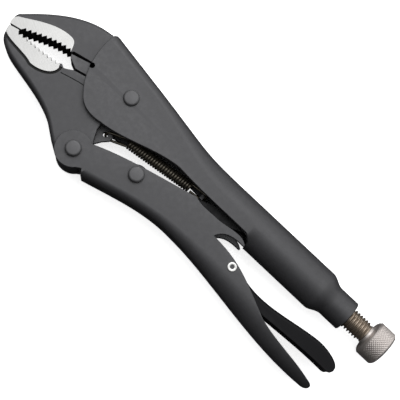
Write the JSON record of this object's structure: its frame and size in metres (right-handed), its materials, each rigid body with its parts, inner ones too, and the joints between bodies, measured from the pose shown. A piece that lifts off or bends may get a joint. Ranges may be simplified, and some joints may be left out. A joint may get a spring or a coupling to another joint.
{
  "type": "locking pliers",
  "caption": "Locking pliers with curved toothed jaws, a folded sheet handle and lever, an inner release lever, a tension spring and a knurled adjusting screw.",
  "frame": {"origin": "on the main pivot's axis, on the flat underside of the main rivet's lower head", "axes": "+X along the adjusting screw towards the knob, +Y from the lever towards the fixed handle, +Z along the pivots"},
  "size_m": [0.2184, 0.0587, 0.0208],
  "materials": {
    "handle_steel": "satin gunmetal coating on sheet steel",
    "jaw_steel": "satin gunmetal coating on forged steel, the gripping faces ground bright",
    "release_steel": "dark satin coating on sheet steel",
    "rivet_steel": "satin gunmetal coating",
    "bright_steel": "bright plated",
    "nickel": "satin nickel plate",
    "spring_steel": "black oiled wire"
  },
  "bodies": {
    "frame": {"fixed_handle": "handle_steel", "upper_jaw": "jaw_steel", "main_rivet": "rivet_steel", "tension_spring": "spring_steel"},
    "moving_jaw": {"lower_jaw": "jaw_steel", "jaw_rivet": "rivet_steel"},
    "lever": {"operating_lever": "handle_steel", "link_rivet": "rivet_steel", "release_rivet": "bright_steel"},
    "link": {"toggle_link": "handle_steel"},
    "release": {"release_lever": "release_steel"},
    "screw": {"adjusting_screw": "nickel"},
    "knob": {"knurled_knob": "nickel"}
  },
  "joints": [
    {"name": "jaw_pivot", "type": "hinge", "parent": "frame", "child": "moving_jaw", "pos_m": [0, 0, 0.0104], "axis": [0, 0, 1], "range_deg": [0, 19.6], "deforming": ["tension_spring"]},
    {"name": "lever_pivot", "type": "hinge", "parent": "moving_jaw", "child": "lever", "pos_m": [-0.0026, -0.0334, 0.0104], "axis": [0, 0, 1], "range_deg": [-65, 0]},
    {"name": "link_pivot", "type": "hinge", "parent": "lever", "child": "link", "pos_m": [0.0248, -0.0229, 0.0104], "axis": [0, 0, 1], "range_deg": [0, 70.6]},
    {"name": "release_pivot", "type": "hinge", "parent": "lever", "child": "release", "pos_m": [0.082, -0.0235, 0.0104], "axis": [0, 0, 1], "range_deg": [-3, 5]},
    {"name": "screw_travel", "type": "slide", "parent": "frame", "child": "screw", "axis": [1, 0, 0], "range_m": [0, 0.012]},
    {"name": "knob_turn", "type": "hinge", "parent": "screw", "child": "knob", "pos_m": [0.15, -0.0032, 0.0104], "axis": [1, 0, 0], "range_deg": [0, 2882]}
  ],
  "couplings": [
    {"joint": "jaw_pivot", "follows": "lever_pivot", "ratio": -0.3},
    {"joint": "link_pivot", "follows": "lever_pivot", "ratio": -1.085},
    {"joint": "knob_turn", "follows": "screw_travel", "rad_per_m": 4188.8}
  ]
}
